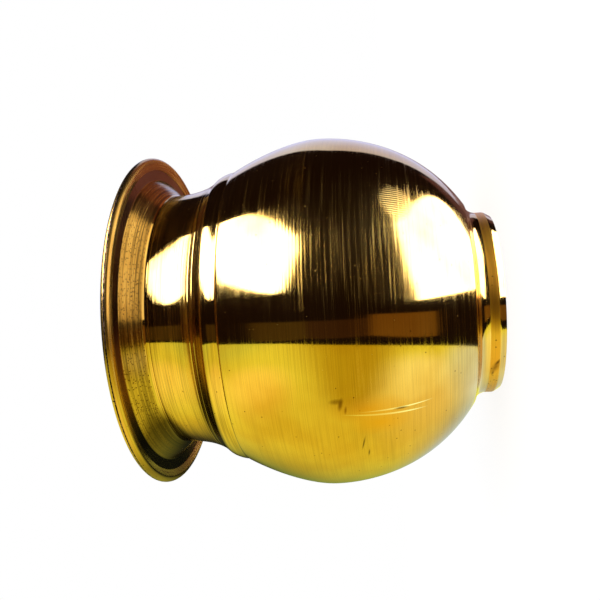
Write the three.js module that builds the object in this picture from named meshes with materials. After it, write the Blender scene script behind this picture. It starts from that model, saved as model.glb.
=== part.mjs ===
// Small brass lota, standing on its foot ring.
// Row frame in mm: +Z is the axis of the vessel, the foot rests on z = 0, the mouth is up.
// Every piece is a turned solid made from a closed (radius, height) outline, and touching pieces
// share the points where they meet.
import * as THREE from 'three';

// Facets around the axis, the same on every piece so that touching faces meet exactly.
const TURN = 48;

// Heights, each one measured up from the level before it.
const FOOT_BAND_HEIGHT = 3.1;
const COVE_HEIGHT = 2.45;
const BOWL_HEIGHT = 29.65;
const SHOULDER_HEIGHT = 18.1;
const COLLAR_HEIGHT = 3.25;
const NECK_HEIGHT = 11.45;
const FLARE_HEIGHT = 3.7;

// Radii, and the steps in or out between neighbouring ones.
const FOOT_R = 19.4;
const COVE_WIDTH = 2.45;
const BELLY_R = 37.5;
const SHOULDER_INSET = 5.4;
const COLLAR_TAPER = 1.1;
const COLLAR_THICKNESS = 1.6;
const NECK_INSET = 3.1;
const FLARE_WIDTH = 3.8;
const LEDGE_WIDTH = 2.25;
const LIP_WIDTH = 2.6;

// Walls, joints and edges.
const BODY_WALL = 1.2;
const MOUTH_WALL = 0.8;
const FOOT_WALL = 2.0;
const BOTTOM_RISE = 0.5;
const FOOT_BEVEL_WIDTH = 0.8;
const FOOT_BEVEL_HEIGHT = 1.3;
const FOOT_FILLET = 1.3;
const LAP_DEPTH = 2.0;
const LAP_WALL = 1.1;
const LAP_JOGGLE = 1.5;
const BELLY_FILLET = 1.1;
const GROOVE_DEPTH = 0.2;
const GROOVE_ROUND = 0.6;
const SPIGOT_DEPTH = 2.7;
const NECK_BRAZE_HEIGHT = 1.6;
const BEAD_RADIUS = 0.98;
const LIP_STEP = 0.1;
const LIP_GROOVE_DEPTH = 0.6;

// Shape of the curves: direction at each end in degrees from the outward radius, and how far the
// curve holds that direction, as a share of the distance between its ends.
const BOWL = { from: 34, hold: 0.53, to: 90, holdEnd: 0.115 };
const SHOULDER = { from: 90, hold: 0.305, to: 118, holdEnd: 0.285 };
const COLLAR = { from: 98, hold: 0.33, to: 124, holdEnd: 0.33 };
const NECK = { from: 134, hold: 0.27, to: 89, holdEnd: 0.4 };
const FLARE = { from: 60, hold: 0.1, to: 46, holdEnd: 0.5 };
const COVE = { from: 78, hold: 0.38, to: 12, holdEnd: 0.38 };
const BEAD_ARC = 110;

// Finishes.
const BRASS = { color: '#dcb03c', roughness: 0.15, metalness: 1 };
const BRAZE = { color: '#c9a05a', roughness: 0.4, metalness: 1 };

// Levels and radii that follow from the sizes above.
const seat = [FOOT_R + COVE_WIDTH, FOOT_BAND_HEIGHT + COVE_HEIGHT];
const footBore = FOOT_R - FOOT_WALL;
const seamZ = seat[1] + BOWL_HEIGHT;
const belly = [BELLY_R, seamZ];
const lapR = BELLY_R - BODY_WALL;
const lapFootZ = seamZ - LAP_DEPTH;
const shoulder = [BELLY_R - SHOULDER_INSET, seamZ + SHOULDER_HEIGHT];
const groove = [shoulder[0] - GROOVE_DEPTH, shoulder[1]];
const landR = shoulder[0] - BODY_WALL;
const landFootZ = shoulder[1] - NECK_BRAZE_HEIGHT;
const neckEdge = [shoulder[0] - COLLAR_TAPER, shoulder[1] + COLLAR_HEIGHT];
const spigotR = neckEdge[0] - COLLAR_THICKNESS;
const waist = [neckEdge[0] - NECK_INSET, neckEdge[1] + NECK_HEIGHT];
const flareEdge = [waist[0] + FLARE_WIDTH, waist[1] + FLARE_HEIGHT];
const lipBore = flareEdge[0] + LEDGE_WIDTH;
const ledgeZ = flareEdge[1];
const ledgeTopZ = ledgeZ + MOUTH_WALL;
const lipGrooveR = lipBore + LIP_GROOVE_DEPTH;
const beadCentre = [lipBore + LIP_WIDTH - BEAD_RADIUS, ledgeZ + MOUTH_WALL / 2];

const vec = ([r, z]) => new THREE.Vector2(r, z);

/** Step of a given length in a direction given in degrees from the outward radius. */
function step([r, z], degrees, length) {
  const angle = THREE.MathUtils.degToRad(degrees);
  return [r + length * Math.cos(angle), z + length * Math.sin(angle)];
}

/** Smooth curve between two points with the given shape. */
function sweep(start, end, shape, steps) {
  const span = Math.hypot(end[0] - start[0], end[1] - start[1]);
  const leave = step(start, shape.from, span * shape.hold);
  const arrive = step(end, shape.to, -span * shape.holdEnd);
  const curve = new THREE.CubicBezierCurve(vec(start), vec(leave), vec(arrive), vec(end));
  return curve.getPoints(steps).map((p) => [p.x, p.y]);
}

/** Copy of a curve, moved to its left by one wall thickness. */
function offset(points, wall) {
  return points.map((point, i) => {
    const before = points[Math.max(i - 1, 0)];
    const after = points[Math.min(i + 1, points.length - 1)];
    const dr = after[0] - before[0];
    const dz = after[1] - before[1];
    const length = Math.hypot(dr, dz);
    return [point[0] - (dz / length) * wall, point[1] + (dr / length) * wall];
  });
}

/** Cuts an inward curve where it reaches a radius; both parts hold the cut point. */
function cutAtRadius(points, radius) {
  const i = points.findIndex(([r]) => r < radius);
  const [outer, inner] = [points[i - 1], points[i]];
  const share = (outer[0] - radius) / (outer[0] - inner[0]);
  const cut = [radius, outer[1] + share * (inner[1] - outer[1])];
  return [[...points.slice(0, i), cut], [cut, ...points.slice(i)]];
}

/** Turns a closed outline, or one that starts and ends on the axis, into a named solid. */
function turned(name, outline, finish) {
  const points = outline.map(vec);
  let area = 0;
  points.forEach((p, i) => {
    const q = points[(i + 1) % points.length];
    area += p.x * q.y - q.x * p.y;
  });
  if (area < 0) {
    points.reverse();
  }
  if (points[0].x > 0) {
    points.push(points[0].clone());
  }
  const geometry = new THREE.LatheGeometry(points, TURN);
  geometry.rotateX(Math.PI / 2);
  const mesh = new THREE.Mesh(geometry, new THREE.MeshStandardMaterial(finish));
  mesh.name = name;
  return mesh;
}

/** Lip ring: a bead grooved on its inner side for the edge of the mouth. */
function lipRing() {
  const outline = [
    [lipBore, ledgeZ],
    [lipGrooveR, ledgeZ],
    [lipGrooveR, ledgeTopZ],
    [lipBore, ledgeTopZ],
    [lipBore, ledgeTopZ + LIP_STEP],
  ];
  const steps = 11;
  for (let i = 0; i <= steps; i += 1) {
    outline.push(step(beadCentre, BEAD_ARC - (2 * BEAD_ARC * i) / steps, BEAD_RADIUS));
  }
  outline.push([lipBore, ledgeZ - LIP_STEP]);
  return turned('lip_ring', outline, BRASS);
}

/** The two curves of the throat, cut where the collar hands over to the mouth. */
function throat() {
  const [collarPart, neck] = cutAtRadius(sweep(neckEdge, waist, NECK, 9), spigotR);
  return { collarPart, mouthPart: [...neck, ...sweep(waist, flareEdge, FLARE, 8).slice(1)] };
}

/** Mouth: spigot, concave neck, trumpet flare and a flat ledge, spun in one sheet. */
function mouthSpinning() {
  const outer = throat().mouthPart;
  const inner = offset(outer, MOUTH_WALL);
  const spigotFootZ = shoulder[1] - SPIGOT_DEPTH;
  inner[0] = [spigotR - MOUTH_WALL, outer[0][1]];
  inner[inner.length - 1][1] = ledgeTopZ;
  return turned('mouth_spinning', [
    [spigotR, spigotFootZ],
    ...outer,
    [lipGrooveR, ledgeZ],
    [lipGrooveR, ledgeTopZ],
    ...inner.slice().reverse(),
    [spigotR - MOUTH_WALL, spigotFootZ],
  ], BRASS);
}

/** Collar: ring round the spigot, from the groove on the shoulder to the edge under the neck. */
function neckCollar() {
  const sideFoot = [shoulder[0], groove[1] + GROOVE_ROUND];
  return turned('neck_collar', [
    [spigotR, groove[1]],
    groove,
    ...sweep(sideFoot, neckEdge, COLLAR, 4),
    ...throat().collarPart.slice(1),
  ], BRASS);
}

/** Upper body: shoulder, with a land for the collar and a lap that goes inside the lower body. */
function upperBody() {
  const outer = sweep(belly, shoulder, SHOULDER, 10);
  const inner = offset(outer, BODY_WALL);
  return turned('upper_body', [
    [lapR, lapFootZ],
    [lapR, seamZ],
    ...outer.filter(([, z]) => z < groove[1] - GROOVE_ROUND),
    groove,
    [landR, groove[1]],
    [landR, landFootZ],
    ...inner.filter(([, z]) => z > seamZ + LAP_JOGGLE && z < landFootZ - LAP_WALL).reverse(),
    [lapR - LAP_WALL, seamZ],
    [lapR - LAP_WALL, lapFootZ],
  ], BRASS);
}

/** Lower body: bowl with a bottom that rises a little to its middle. */
function lowerBody() {
  const outer = sweep(seat, belly, BOWL, 15);
  const inner = offset(outer, BODY_WALL);
  const filletFootZ = lapFootZ - BELLY_FILLET;
  inner[0] = [seat[0], seat[1] + BODY_WALL];
  return turned('lower_body', [
    [0, seat[1] + BOTTOM_RISE],
    [footBore - FOOT_FILLET, seat[1]],
    [footBore, seat[1]],
    ...outer,
    [lapR, seamZ],
    [lapR, lapFootZ],
    [lapR, filletFootZ],
    ...inner.filter(([, z]) => z < filletFootZ - BODY_WALL).reverse(),
    [footBore - FOOT_FILLET, seat[1] + BODY_WALL],
    [0, seat[1] + BOTTOM_RISE + BODY_WALL],
  ], BRASS);
}

/** Foot ring: bevelled band with a cove up to the body. */
function footRing() {
  return turned('foot_ring', [
    [footBore, 0],
    [FOOT_R - FOOT_BEVEL_WIDTH, 0],
    [FOOT_R, FOOT_BEVEL_HEIGHT],
    ...sweep([FOOT_R, FOOT_BAND_HEIGHT], seat, COVE, 6),
    [footBore, seat[1]],
    [footBore, seat[1] - FOOT_FILLET],
  ], BRASS);
}

/** Braze that fills the space between spigot, collar and body. */
function neckBraze() {
  return turned('neck_braze', [
    [spigotR, landFootZ],
    [landR, landFootZ],
    [landR, groove[1]],
    [spigotR, groove[1]],
  ], BRAZE);
}

/** Braze fillet under the lap inside the belly. */
function bellyBraze() {
  return turned('belly_braze', [
    [lapR, lapFootZ],
    [lapR - LAP_WALL, lapFootZ],
    [lapR, lapFootZ - BELLY_FILLET],
  ], BRAZE);
}

/** Braze fillet in the corner between foot ring and bottom. */
function footBraze() {
  return turned('foot_braze', [
    [footBore, seat[1]],
    [footBore - FOOT_FILLET, seat[1]],
    [footBore, seat[1] - FOOT_FILLET],
  ], BRAZE);
}

const lota = new THREE.Group();
lota.name = 'lota';
lota.add(lipRing(), mouthSpinning(), neckCollar(), upperBody(), lowerBody(), footRing());
lota.add(neckBraze(), bellyBraze(), footBraze());

export default lota;
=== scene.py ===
"""A small brass lota, turned, spun and brazed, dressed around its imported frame.

Lengths are real millimetres in the part's own frame: +Z is the axis of the vessel, the foot rests on
z = 0 and the mouth is up. The camera is rolled, so that the vessel lies as it does in the photograph:
mouth to the left, foot to the right. Everything is made at full size in metres by the scale below.
"""

import logging
import math
from dataclasses import dataclass
from enum import Enum

import bmesh
import bpy
from mathutils import Matrix, Vector
from mathutils.geometry import interpolate_bezier

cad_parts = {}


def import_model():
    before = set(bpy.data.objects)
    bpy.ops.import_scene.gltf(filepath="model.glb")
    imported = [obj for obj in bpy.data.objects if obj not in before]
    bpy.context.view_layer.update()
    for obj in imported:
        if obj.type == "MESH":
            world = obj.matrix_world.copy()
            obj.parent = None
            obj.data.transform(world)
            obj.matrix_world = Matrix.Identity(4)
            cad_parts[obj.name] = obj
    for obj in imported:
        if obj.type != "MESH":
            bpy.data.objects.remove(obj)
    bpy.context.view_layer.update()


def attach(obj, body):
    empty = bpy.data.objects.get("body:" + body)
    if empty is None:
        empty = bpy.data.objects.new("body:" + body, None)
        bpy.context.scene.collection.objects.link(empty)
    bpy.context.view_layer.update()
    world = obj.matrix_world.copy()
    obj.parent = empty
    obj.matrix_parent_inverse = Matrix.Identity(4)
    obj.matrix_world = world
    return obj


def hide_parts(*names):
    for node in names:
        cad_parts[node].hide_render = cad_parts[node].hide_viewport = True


log = logging.getLogger("lota")

Point = tuple[float, float]
Span = tuple[float, float]
Place = tuple[float, float, float]
Outline = list[Point]
Material = bpy.types.Material
Tree = bpy.types.NodeTree
Socket = bpy.types.NodeSocket

MM = 0.001
WHITE = "#FFFFFF"

SPIN_STEPS = 240
SAME_PLACE = 1e-6
SHARP_EDGE = math.radians(40)
# A face that turns towards the axis by more than this is part of the inside.
INNER_FACE = -0.3
# How far the handles of a small round reach towards the corner that it takes off.
CORNER_PULL = 0.6
CUT_STEPS = 3
VALLEY_STEPS = 6
FILLET_STEPS = 5
FILLET_HOLLOW = 0.35

# A Mix node has several sockets of one name, so they are told apart by number.
FACTOR, VALUE_A, VALUE_B, COLOUR_A, COLOUR_B = 0, 2, 3, 6, 7
VALUE_MIXED, COLOUR_MIXED = 0, 2
FADING = {"To Min": 1.0, "To Max": 0.0}
# The bands of a Wave texture are this far apart at a scale of one.
BAND_PERIOD = math.tau / 20

# Where the stage stands, in millimetres from the vessel, and how bright the daylight is.
TABLE_LEVEL = -38.5
WINDOW_AWAY = 1000.0
WALL_AWAY = 1050.0
FLOOR_AWAY = 700.0
DAYLIGHT = 9.0
CARD_STEPS = 24
# Rays of a lesser depth come from the camera or from one reflection.
SECOND_REFLECTION = 1.5


class Slot(Enum):
    """Material slots of the record."""

    BRASS = "polished_brass"
    BRAZE = "braze"


class Hidden(Enum):
    """The rays that don't see a stage piece."""

    PANEL = ("visible_camera", "visible_diffuse", "visible_shadow")
    FLOOR = ("visible_glossy", "visible_shadow")


def linear(hex_colour: str) -> tuple[float, float, float, float]:
    """Turns an sRGB hex colour into linear light.

    Args:
        hex_colour: Six hex digits after a hash sign.

    Returns:
        Red, green, blue and an alpha of one.
    """
    parts = [int(hex_colour[i : i + 2], 16) / 255 for i in (1, 3, 5)]
    red, green, blue = (c / 12.92 if c <= 0.04045 else ((c + 0.055) / 1.055) ** 2.4 for c in parts)
    return red, green, blue, 1.0


def step(start: Point, degrees: float, length: float) -> Point:
    """Steps off in a direction given in degrees from the outward radius.

    Args:
        start: Radius and height, in millimetres.
        degrees: The direction.
        length: How far, in millimetres.

    Returns:
        The point reached.
    """
    turn_by = math.radians(degrees)
    return start[0] + length * math.cos(turn_by), start[1] + length * math.sin(turn_by)


def bezier(first: Point, leave: Point, arrive: Point, last: Point, steps: int) -> Outline:
    """Draws a cubic curve from its four control points.

    Args:
        first: Where it starts.
        leave: Its first handle.
        arrive: Its second handle.
        last: Where it ends.
        steps: Number of steps along it.

    Returns:
        The points of the curve, ends included.
    """
    knots = [Vector(p) for p in (first, leave, arrive, last)]
    return [(spot.x, spot.y) for spot in interpolate_bezier(*knots, steps + 1)]


@dataclass(frozen=True)
class Bend:
    """How a curve leaves its first point and reaches its last.

    Directions are in degrees from the outward radius. Each hold is the share of the straight distance
    over which the curve keeps its direction.
    """

    start: float
    hold: float
    end: float
    end_hold: float

    def sweep(self, first: Point, last: Point, steps: int) -> Outline:
        """Draws the curve between two points.

        Args:
            first: Radius and height of its first point, in millimetres.
            last: Radius and height of its last point.
            steps: Number of steps along it.

        Returns:
            The points of the curve, ends included.
        """
        span = math.dist(first, last)
        leave = step(first, self.start, span * self.hold)
        arrive = step(last, self.end, -span * self.end_hold)
        return bezier(first, leave, arrive, last, steps)


def offset(curve: Outline, distance: float) -> Outline:
    """Shifts a curve to its left.

    Args:
        curve: Radius and height of each point, in millimetres.
        distance: How far each point moves square to the curve, in millimetres.

    Returns:
        The shifted curve.
    """
    shifted: Outline = []
    for i, (radius, height) in enumerate(curve):
        before = curve[max(i - 1, 0)]
        after = curve[min(i + 1, len(curve) - 1)]
        along = Vector((after[0] - before[0], after[1] - before[1])).normalized()
        shifted.append((radius - along.y * distance, height + along.x * distance))
    return shifted


def arc(centre: Point, radius: float, start: float, end: float, steps: int) -> Outline:
    """Draws a round stretch of an outline.

    Args:
        centre: Radius and height of the arc's centre, in millimetres.
        radius: The arc's radius in millimetres.
        start: Angle of its first point, in degrees from the outward direction.
        end: Angle of its last point.
        steps: Number of steps along it.

    Returns:
        The points of the arc, ends included.
    """
    return [step(centre, start + (end - start) * i / steps, radius) for i in range(steps + 1)]


def join(first: Outline, second: Outline, radius: float, steps: int = 4) -> Outline:
    """Joins two curves that meet at a corner by a small round.

    Args:
        first: The curve up to the corner.
        second: The curve from the corner on.
        radius: How far from the corner the round begins, in millimetres.
        steps: Number of steps along the round.

    Returns:
        Both curves and the round between them.
    """
    corner = Vector(first[-1])
    lead = [p for p in first if (Vector(p) - corner).length > radius]
    tail = [p for p in second if (Vector(p) - corner).length > radius]
    start = corner + (Vector(lead[-1]) - corner).normalized() * radius
    end = corner + (Vector(tail[0]) - corner).normalized() * radius
    handles = (start.lerp(corner, CORNER_PULL), end.lerp(corner, CORNER_PULL))
    return [*lead, *bezier(start, *handles, end, steps), *tail]


def fillet(corner: Point, width: float, height: float) -> Outline:
    """Draws braze in the corner under a level face, a little hollow.

    Args:
        corner: Radius and height of the corner, in millimetres.
        width: How far the braze reaches inwards.
        height: How far it reaches down.

    Returns:
        Its outline.
    """
    edge = (corner[0] - width, corner[1])
    low = (corner[0], corner[1] - height)
    middle = (corner[0] - width * FILLET_HOLLOW, corner[1] - height * FILLET_HOLLOW)
    return [corner, *bezier(edge, middle, middle, low, FILLET_STEPS)]


def firm(outline: Outline, longest: float = 1.2, reach: float = 0.08) -> Outline:
    """Holds the long straights of an outline flat, right up to their ends.

    Args:
        outline: Radius and height of each point, in millimetres.
        longest: Straights up to this length stay as they are.
        reach: How close to each end the added points lie.

    Returns:
        The outline with its added points.
    """
    held = [outline[0]]
    for first, last in zip(outline, outline[1:]):
        span = math.dist(first, last)
        if span > longest:
            heading = Vector(last) - Vector(first)
            near = Vector(first) + heading * (reach / span)
            far = Vector(last) - heading * (reach / span)
            held += [(near.x, near.y), (far.x, far.y)]
        held.append(last)
    return held


@dataclass(frozen=True)
class Score:
    """A fine turned line, left by the point of the lathe tool. Lengths in millimetres."""

    height: float
    width: float
    depth: float

    def depth_at(self, height: float) -> float:
        """Tells how deep the line is at a height."""
        away = abs(height - self.height) / self.width
        return self.depth * (0.5 + 0.5 * math.cos(math.pi * away)) if away < 1 else 0.0


def score(curve: Outline, lines: tuple[Score, ...]) -> Outline:
    """Cuts fine turned lines into a curve that climbs from point to point.

    Args:
        curve: Radius and height of each point, in millimetres.
        lines: The lines to cut.

    Returns:
        The curve with the lines in it.
    """
    low, high = curve[0][1], curve[-1][1]
    across = range(-CUT_STEPS, CUT_STEPS + 1)
    cuts = {line.height + line.width * k / CUT_STEPS for line in lines for k in across}
    heights = sorted({z for _, z in curve} | {z for z in cuts if low < z < high})
    scored: Outline = []
    i = 0
    for height in heights:
        while curve[i + 1][1] < height:
            i += 1
        (r0, z0), (r1, z1) = curve[i], curve[i + 1]
        radius = r0 + (r1 - r0) * (height - z0) / (z1 - z0)
        scored.append((radius - sum(line.depth_at(height) for line in lines), height))
    return scored


@dataclass(frozen=True)
class Patch:
    """Part of a piece with a finish of its own: a stretch of heights, outside or inside."""

    material: Material
    low: float = -math.inf
    high: float = math.inf
    inside: bool = False

    def covers(self, height: float, inward: bool) -> bool:
        """Tells whether a face at a height, in millimetres, belongs to the patch."""
        return self.low < height < self.high and inward == self.inside


def turn(
    name: str,
    outline: Outline,
    outside: Material,
    patches: tuple[Patch, ...] = (),
) -> None:
    """Spins an outline round the axis into a smooth closed piece that rides on the root body.

    Args:
        name: The CAD node that the piece stands for; the piece is named after it.
        outline: Radius and height of each point, closed, or starting and ending on the axis.
        outside: The piece's material.
        patches: Parts of the piece with other materials.
    """
    shell = bmesh.new()
    ring = [shell.verts.new((radius * MM, 0, height * MM)) for radius, height in firm(outline)]
    edges = [shell.edges.new(pair) for pair in zip(ring, ring[1:])]
    if outline[0][0] > 0:
        edges.append(shell.edges.new((ring[-1], ring[0])))
    bmesh.ops.spin(
        shell,
        geom=ring + edges,
        cent=(0, 0, 0),
        axis=(0, 0, 1),
        angle=math.tau,
        steps=SPIN_STEPS,
        use_merge=True,
    )
    bmesh.ops.remove_doubles(shell, verts=shell.verts, dist=SAME_PLACE)
    bmesh.ops.recalc_face_normals(shell, faces=shell.faces)
    mesh = bpy.data.meshes.new(name)
    mesh.materials.append(outside)
    for patch in patches:
        mesh.materials.append(patch.material)
    for face in shell.faces:
        face.smooth = True
        centre = face.calc_center_median()
        outward = centre.xy.normalized()
        inward = face.normal.xy.dot(outward) < INNER_FACE or outward.length == 0
        for number, patch in enumerate(patches, start=1):
            if patch.covers(centre.z / MM, inward):
                face.material_index = number
    shell.to_mesh(mesh)
    shell.free()
    mesh.set_sharp_from_angle(angle=SHARP_EDGE)
    piece = bpy.data.objects.new(f"{name}_fine", mesh)
    bpy.context.scene.collection.objects.link(piece)
    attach(piece, "root")
    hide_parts(name)
    log.info("%s: %d faces", piece.name, len(mesh.polygons))


def blank_material(name: str) -> tuple[Material, Tree]:
    """Adds a node material that has no nodes yet.

    Args:
        name: The material's name.

    Returns:
        The material and its node tree.
    """
    material = bpy.data.materials.new(name)
    material.use_nodes = True
    material.node_tree.nodes.clear()
    return material, material.node_tree


def add_node(
    tree: Tree,
    kind: str,
    settings: dict[str | int, object] | None = None,
    links: dict[str | int, Socket] | None = None,
) -> bpy.types.Node:
    """Adds one shader node with its settings and links.

    Args:
        tree: The node tree.
        kind: The node's type name.
        settings: Attributes of the node, or values of its inputs by name or number.
        links: Output sockets to plug in, by input name or number.

    Returns:
        The new node.
    """
    node = tree.nodes.new(kind)
    for key, value in (settings or {}).items():
        if isinstance(key, str) and hasattr(node, key):
            setattr(node, key, value)
        else:
            node.inputs[key].default_value = value
    for key, socket in (links or {}).items():
        tree.links.new(socket, node.inputs[key])
    return node


def rings(
    tree: Tree,
    place: Socket,
    spacing_mm: float,
    changes_per_m: float,
    detail: float,
    start: Place = (0.0, 0.0, 0.0),
) -> Socket:
    """Draws the rings that a lathe tool leaves round the axis.

    Args:
        tree: The node tree.
        place: Object coordinates.
        spacing_mm: How far apart they are.
        changes_per_m: How often a ring changes along its run.
        detail: How much finer variation they have.
        start: Where in the noise the pattern starts.

    Returns:
        A socket between zero and one.
    """
    drawn_out = add_node(
        tree,
        "ShaderNodeMapping",
        {"Scale": (changes_per_m, changes_per_m, 1 / (spacing_mm * MM)), "Location": start},
        {"Vector": place},
    )
    return add_node(
        tree,
        "ShaderNodeTexNoise",
        {"Scale": 1.0, "Detail": detail},
        {"Vector": drawn_out.outputs["Vector"]},
    ).outputs["Fac"]


def specks(tree: Tree, place: Socket, spacing_mm: float, core: float, edge: float) -> Socket:
    """Scatters small round specks.

    Args:
        tree: The node tree.
        place: Object coordinates.
        spacing_mm: How far apart they are.
        core: Share of the spacing within which a speck is full.
        edge: Share of the spacing at which it has faded out.

    Returns:
        A socket that is one in each speck and zero between them.
    """
    cells = add_node(tree, "ShaderNodeTexVoronoi", {"Scale": 1 / (spacing_mm * MM)}, {"Vector": place})
    return add_node(
        tree,
        "ShaderNodeMapRange",
        {"From Min": core, "From Max": edge, **FADING},
        {"Value": cells.outputs["Distance"]},
    ).outputs["Result"]


@dataclass(frozen=True)
class Mark:
    """A mark on the surface, of use or of painted shade: an oval, or a line where one reach is short.
    Millimetres, degrees.

    The place is given by the angle round the axis, from the camera's side up over the lying vessel,
    and by radius and height. The slant turns the oval's length away from the vessel's axis. Ridges are
    fine lines across the oval, given by their spacing.
    """

    angle: float
    radius: float
    height: float
    reach: Point
    slant: float = 0.0
    colour: str = "#4A3410"
    # How strongly the mark's colour is laid over the metal: real stains, and painted shade for the dark
    # ovals on the low side.
    stain_and_shade: float = 0.0
    roughness: float | None = None
    core: float = 0.3
    ridges: float = 0.0
    ridge_edges: Span = (0.15, 0.85)
    ridge_waver: float = 2.2
    ridge_waver_scale: float = 0.35

    def place(self) -> Matrix:
        """Finds where the mark lies.

        Returns:
            The mark's own frame: along it, across it and out of the surface.
        """
        round_by = math.radians(self.angle)
        outward = Vector((math.sin(round_by), -math.cos(round_by), 0))
        upward = Vector((math.cos(round_by), math.sin(round_by), 0))
        turned = math.radians(self.slant)
        along = Vector((0, 0, 1)) * math.cos(turned) + upward * math.sin(turned)
        spot = outward * self.radius + Vector((0, 0, self.height))
        turned_to = Matrix((along, outward.cross(along), outward)).transposed().to_4x4()
        return Matrix.Translation(spot * MM) @ turned_to

    def mask(self, tree: Tree, place: Socket) -> Socket:
        """Masks the mark.

        Args:
            tree: The node tree.
            place: Object coordinates.

        Returns:
            A socket that is one in the mark's core and zero outside it.
        """
        frame = self.place()
        near = add_node(
            tree,
            "ShaderNodeMapping",
            {
                "vector_type": "TEXTURE",
                "Location": frame.to_translation(),
                "Rotation": frame.to_euler(),
                "Scale": (self.reach[0] * MM, self.reach[1] * MM, max(self.reach) * MM),
            },
            {"Vector": place},
        ).outputs["Vector"]
        away = add_node(tree, "ShaderNodeVectorMath", {"operation": "LENGTH"}, {0: near})
        oval = add_node(
            tree,
            "ShaderNodeMapRange",
            {"From Min": self.core, "From Max": 1.0, **FADING},
            {"Value": away.outputs["Value"]},
        ).outputs["Result"]
        if not self.ridges:
            return oval
        lines = add_node(
            tree,
            "ShaderNodeTexWave",
            {
                "wave_type": "BANDS",
                "bands_direction": "Y",
                "Scale": BAND_PERIOD * self.reach[1] / self.ridges,
                "Distortion": self.ridge_waver,
                "Detail": 0.0,
                "Detail Scale": self.ridge_waver_scale,
            },
            {"Vector": near},
        )
        crisp = add_node(
            tree,
            "ShaderNodeMapRange",
            {"From Min": self.ridge_edges[0], "From Max": self.ridge_edges[1]},
            {"Value": lines.outputs["Fac"]},
        )
        return add_node(
            tree, "ShaderNodeMath", {"operation": "MULTIPLY"}, {0: oval, 1: crisp.outputs["Result"]}
        ).outputs["Value"]

    def lay(self, tree: Tree, place: Socket, surface: Socket, gloss: Socket) -> tuple[Socket, Socket]:
        """Lays the mark over a material's colour and roughness.

        Args:
            tree: The node tree.
            place: Object coordinates.
            surface: The colour so far.
            gloss: The roughness so far.

        Returns:
            The colour and the roughness with the mark in them.
        """
        mask = self.mask(tree, place)
        if self.stain_and_shade:
            part = add_node(tree, "ShaderNodeMath", {"operation": "MULTIPLY", 1: self.stain_and_shade}, {0: mask})
            surface = add_node(
                tree,
                "ShaderNodeMix",
                {"data_type": "RGBA", COLOUR_B: linear(self.colour)},
                {FACTOR: part.outputs["Value"], COLOUR_A: surface},
            ).outputs[COLOUR_MIXED]
        if self.roughness is not None:
            gloss = add_node(
                tree, "ShaderNodeMix", {VALUE_B: self.roughness}, {FACTOR: mask, VALUE_A: gloss}
            ).outputs[VALUE_MIXED]
        return surface, gloss


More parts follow.
